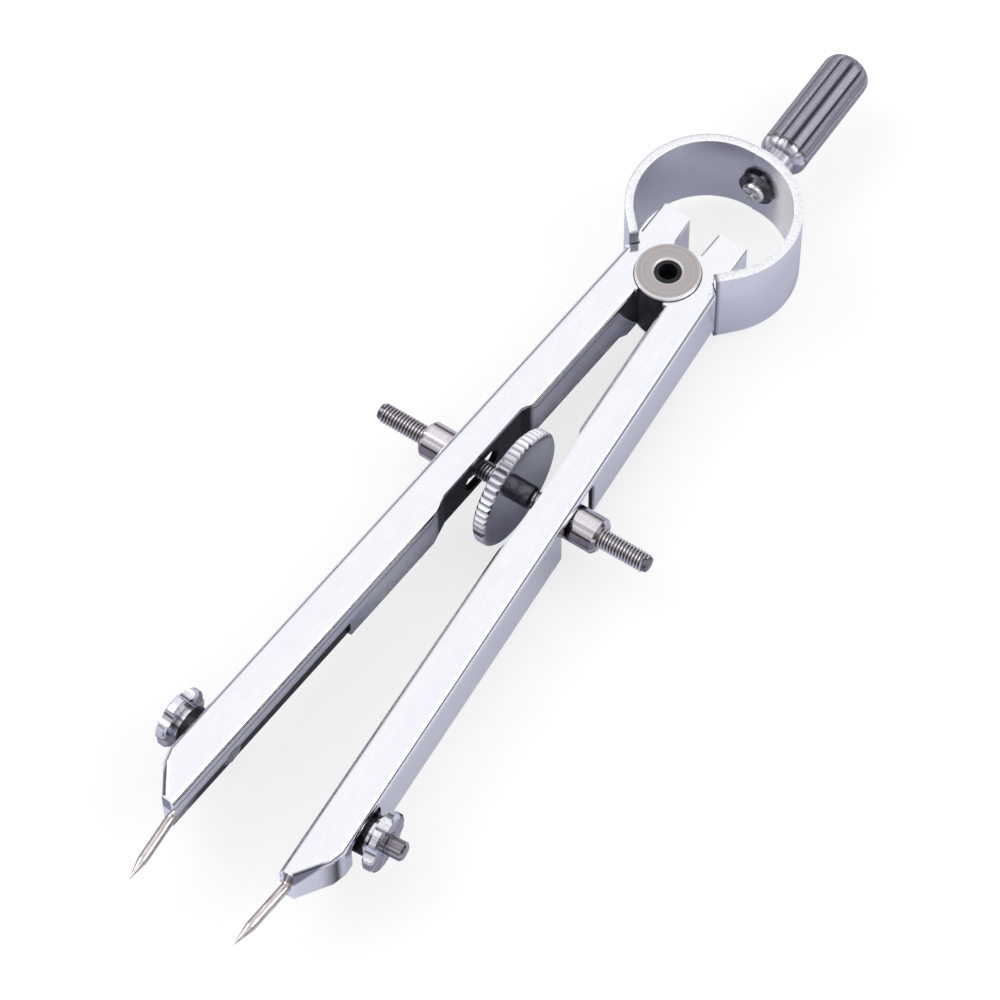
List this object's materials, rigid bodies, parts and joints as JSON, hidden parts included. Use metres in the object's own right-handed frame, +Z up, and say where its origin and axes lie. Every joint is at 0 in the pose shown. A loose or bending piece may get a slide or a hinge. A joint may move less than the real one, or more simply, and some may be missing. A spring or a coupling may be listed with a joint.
{
  "type": "spring bow compass",
  "caption": "Metal spring bow divider with a ring spring, fluted handle, cross screw with thumbwheel and clamped needles",
  "frame": {"origin": "Middle of the part's outline across and along the legs, at the level of its lowest point (the thumbwheel's rim)", "axes": "+X across the legs to the right leg, +Y along the part towards the handle, +Z up from the back of the part to its front face"},
  "size_m": [0.0464, 0.1704, 0.0185],
  "materials": {
    "polished_steel": "polished spring strip with a rough bright edge",
    "satin_nickel": "satin nickel, fluted",
    "screw_steel": "bright rolled thread",
    "dark_steel": "dark oiled steel",
    "black_plastic": "black moulded plastic",
    "brushed_washer": "circular brushed, bright chamfer",
    "leg_chrome": "bright nickel plate",
    "nut_chrome": "bright turned",
    "wheel_chrome": "bright plate with fine knurl",
    "needle_steel": "ground steel"
  },
  "bodies": {
    "root": {"spring_ring": "polished_steel", "handle": "satin_nickel", "handle_screw": "screw_steel", "handle_washer": "dark_steel", "pivot_roller": "black_plastic", "front_washer": "brushed_washer", "back_washer": "brushed_washer"},
    "left_leg": {"left_leg": "leg_chrome", "left_clamp_bolt": "screw_steel", "left_clamp_washer": "dark_steel", "left_clamp_collar": "nut_chrome"},
    "right_leg": {"right_leg": "leg_chrome", "right_clamp_bolt": "screw_steel", "right_clamp_washer": "dark_steel", "right_clamp_collar": "nut_chrome"},
    "left_nut": {"left_nut": "nut_chrome"},
    "right_nut": {"right_nut": "nut_chrome"},
    "screw": {"adjusting_screw": "screw_steel"},
    "wheel": {"thumbwheel": "wheel_chrome", "wheel_hub": "dark_steel"},
    "left_knob": {"left_thumb_nut": "wheel_chrome"},
    "right_knob": {"right_thumb_nut": "wheel_chrome"},
    "left_point": {"left_needle": "needle_steel"},
    "right_point": {"right_needle": "needle_steel"}
  },
  "joints": [
    {"name": "left_leg_swing", "type": "hinge", "parent": "root", "child": "left_leg", "pos_m": [0, 0.03595, 0.00923], "axis": [0, 0, -1], "range_deg": [-3.61, 12.01], "deforming": ["spring_ring"]},
    {"name": "right_leg_swing", "type": "hinge", "parent": "root", "child": "right_leg", "pos_m": [0, 0.03595, 0.00923], "axis": [0, 0, 1], "range_deg": [-3.61, 12.01]},
    {"name": "left_nut_swivel", "type": "hinge", "parent": "left_leg", "child": "left_nut", "pos_m": [-0.00771, -0.00418, 0.00923], "axis": [0, 0, 1], "range_deg": [-3.61, 12.01]},
    {"name": "right_nut_swivel", "type": "hinge", "parent": "right_leg", "child": "right_nut", "pos_m": [0.00771, -0.00418, 0.00923], "axis": [0, 0, -1], "range_deg": [-3.61, 12.01]},
    {"name": "screw_shift", "type": "slide", "parent": "left_nut", "child": "screw", "axis": [1, 0, 0], "range_m": [-0.0025, 0.00825]},
    {"name": "thumbwheel_turn", "type": "hinge", "parent": "screw", "child": "wheel", "pos_m": [0, -0.00418, 0.00923], "axis": [1, 0, 0], "range_deg": [-1265.7, 4210.8]},
    {"name": "left_clamp_turn", "type": "hinge", "parent": "left_leg", "child": "left_knob", "pos_m": [-0.01757, -0.06101, 0.00923], "axis": [-0.9972, 0.0745, 0], "range_deg": [0, 360]},
    {"name": "right_clamp_turn", "type": "hinge", "parent": "right_leg", "child": "right_knob", "pos_m": [0.01757, -0.06101, 0.00923], "axis": [0.9972, 0.0745, 0], "range_deg": [0, 360]},
    {"name": "left_needle_slide", "type": "slide", "parent": "left_leg", "child": "left_point", "axis": [0.0738, -0.9973, 0], "range_m": [-0.008, 0.003]},
    {"name": "right_needle_slide", "type": "slide", "parent": "right_leg", "child": "right_point", "axis": [-0.0738, -0.9973, 0], "range_m": [-0.008, 0.003]}
  ],
  "couplings": [
    {"joint": "right_leg_swing", "follows": "left_leg_swing", "ratio": 1},
    {"joint": "left_nut_swivel", "follows": "left_leg_swing", "ratio": 1},
    {"joint": "right_nut_swivel", "follows": "left_leg_swing", "ratio": 1},
    {"joint": "thumbwheel_turn", "follows": "left_leg_swing", "ratio": 350.6},
    {"joint": "screw_shift", "follows": "left_leg_swing", "m_per_rad": 0.039057}
  ]
}
